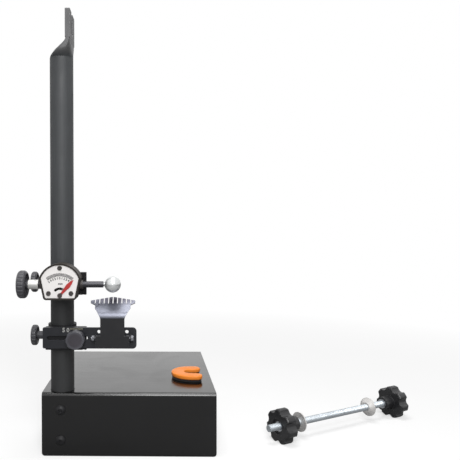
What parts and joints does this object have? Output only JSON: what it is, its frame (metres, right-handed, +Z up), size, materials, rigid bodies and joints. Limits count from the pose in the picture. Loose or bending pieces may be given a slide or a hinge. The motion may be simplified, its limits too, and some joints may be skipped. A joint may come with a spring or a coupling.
{
  "type": "wheel truing stand",
  "caption": "One-armed bicycle wheel truing stand: folded sheet base, round post with an open axle slot, dial gauge and comb feeler carriages, through-axle adaptor and slot spacer.",
  "frame": {"origin": "on the floor, at the middle of the front flange's foot", "axes": "+X along the axle slot, to the wheel's side (right in the picture); +Y to the back of the base; +Z up along the post"},
  "size_m": [0.5844, 0.2828, 0.6],
  "materials": {
    "black_sheet": "satin powder coat",
    "black_tube": "satin powder coat",
    "black_cast": "satin",
    "black_steel": "black oxide",
    "zinc": "bright zinc plated",
    "chrome": "polished",
    "aluminium": "turned",
    "brass": "turned",
    "spring_steel": "drawn wire",
    "feeler_steel": "dark satin",
    "black_plastic": "fine moulded grain",
    "dial_white": "printed plate",
    "pointer_red": "satin paint",
    "orange_plastic": "moulded",
    "pad_rubber": "matt"
  },
  "bodies": {
    "stand": {"base_housing": "black_sheet", "post_tube": "black_tube", "post_bolts": "black_steel", "post_washers": "zinc", "post_nuts": "zinc"},
    "gauge_carriage": {"gauge_collar": "black_cast", "gauge_case": "black_cast", "case_screws": "black_steel", "dial_plate": "dial_white", "dial_screws": "black_steel", "rod_bushes": "brass", "pivot_pin": "black_steel"},
    "gauge_clamp_screw": {"gauge_clamp_stud": "zinc"},
    "gauge_clamp_grip": {"gauge_clamp_knob": "black_plastic"},
    "pointer_arm": {"pointer": "pointer_red", "drive_pin": "spring_steel"},
    "plunger": {"plunger_rod": "black_steel", "ball_tip": "chrome", "pull_knob": "black_plastic", "rod_sleeve": "aluminium", "plunger_driver": "brass", "plunger_spring": "spring_steel"},
    "feeler_carriage": {"feeler_collar": "black_cast"},
    "feeler_clamp_screw": {"feeler_clamp_stud": "zinc"},
    "feeler_clamp_grip": {"feeler_clamp_knob": "black_plastic"},
    "sliding_bar": {"feeler_bar": "black_sheet", "hinge_pin": "zinc", "hinge_nut": "zinc"},
    "feeler": {"comb_feeler": "feeler_steel"},
    "bar_lock_screw": {"bar_lock_stud": "zinc", "bar_lock_washer": "zinc"},
    "bar_lock_grip": {"bar_lock_knob": "black_plastic"},
    "adaptor": {"axle_rod": "zinc", "head_knob": "black_plastic", "head_insert": "zinc"},
    "star_nut_carrier": {"star_nut_insert": "zinc"},
    "star_nut": {"star_nut_knob": "black_plastic"},
    "outer_cone_washer": {"outer_cone": "zinc"},
    "inner_cone_washer": {"inner_cone": "zinc"},
    "spacer": {"slot_spacer": "orange_plastic", "spacer_pad": "pad_rubber"}
  },
  "joints": [
    {"name": "gauge_height", "type": "slide", "parent": "stand", "child": "gauge_carriage", "axis": [0, 0, 1], "range_m": [-0.005, 0.28]},
    {"name": "gauge_clamp_travel", "type": "slide", "parent": "gauge_carriage", "child": "gauge_clamp_screw", "axis": [-1, 0, 0], "range_m": [0, 0.002]},
    {"name": "gauge_clamp_turn", "type": "hinge", "parent": "gauge_clamp_screw", "child": "gauge_clamp_grip", "pos_m": [-0.092, 0.0178, 0.2328], "axis": [-1, 0, 0], "range_deg": [0, 722]},
    {"name": "plunger_slide", "type": "slide", "parent": "gauge_carriage", "child": "plunger", "axis": [1, 0, 0], "range_m": [-0.01165, 0], "stiffness_N_per_m": 150, "springref_m": 0.008, "deforming": ["plunger_spring"]},
    {"name": "pointer_swing", "type": "hinge", "parent": "gauge_carriage", "child": "pointer_arm", "pos_m": [-0.088, -0.02, 0.2196], "axis": [0, 1, 0], "range_deg": [-82.1, 0.1]},
    {"name": "feeler_height", "type": "slide", "parent": "stand", "child": "feeler_carriage", "axis": [0, 0, 1], "range_m": [-0.045, 0]},
    {"name": "feeler_clamp_travel", "type": "slide", "parent": "feeler_carriage", "child": "feeler_clamp_screw", "axis": [-1, 0, 0], "range_m": [0, 0.002]},
    {"name": "feeler_clamp_turn", "type": "hinge", "parent": "feeler_clamp_screw", "child": "feeler_clamp_grip", "pos_m": [-0.092, 0.0178, 0.1595], "axis": [-1, 0, 0], "range_deg": [0, 722]},
    {"name": "bar_slide", "type": "slide", "parent": "feeler_carriage", "child": "sliding_bar", "axis": [1, 0, 0], "range_m": [-0.004, 0.036]},
    {"name": "bar_lock_travel", "type": "slide", "parent": "feeler_carriage", "child": "bar_lock_screw", "axis": [0, -1, 0], "range_m": [0, 0.0016]},
    {"name": "bar_lock_turn", "type": "hinge", "parent": "bar_lock_screw", "child": "bar_lock_grip", "pos_m": [-0.069, -0.02, 0.161], "axis": [0, -1, 0], "range_deg": [0, 722]},
    {"name": "feeler_tilt", "type": "hinge", "parent": "sliding_bar", "child": "feeler", "pos_m": [-0.0205, -0.0163, 0.16175], "axis": [1, 0, 0], "range_deg": [0, 45]},
    {"name": "adaptor_lift", "type": "slide", "parent": "stand", "child": "adaptor", "axis": [0, 0, 1], "range_m": [0, 0.15]},
    {"name": "star_nut_travel", "type": "slide", "parent": "adaptor", "child": "star_nut_carrier", "axis": [-0.8763, -0.4818, 0], "range_m": [-0.0031, 0.0061]},
    {"name": "star_nut_turn", "type": "hinge", "parent": "star_nut_carrier", "child": "star_nut", "pos_m": [0.217, 0.052, 0.02322], "axis": [-0.8763, -0.4818, 0], "range_deg": [-720, 1440]},
    {"name": "outer_cone_slide", "type": "slide", "parent": "adaptor", "child": "outer_cone_washer", "axis": [0.8763, 0.4818, 0], "range_m": [-0.002, 0.06]},
    {"name": "inner_cone_slide", "type": "slide", "parent": "adaptor", "child": "inner_cone_washer", "axis": [0.8763, 0.4818, 0], "range_m": [-0.06, 0.02]},
    {"name": "spacer_lift", "type": "slide", "parent": "stand", "child": "spacer", "axis": [0, 0, 1], "range_m": [0, 0.1]}
  ],
  "couplings": [
    {"joint": "pointer_swing", "follows": "plunger_slide", "rad_per_m": 122.56},
    {"joint": "gauge_clamp_turn", "follows": "gauge_clamp_travel", "rad_per_m": 6283.2},
    {"joint": "feeler_clamp_turn", "follows": "feeler_clamp_travel", "rad_per_m": 6283.2},
    {"joint": "bar_lock_turn", "follows": "bar_lock_travel", "rad_per_m": 7854},
    {"joint": "star_nut_travel", "follows": "star_nut_turn", "m_per_rad": 0.00023873}
  ]
}
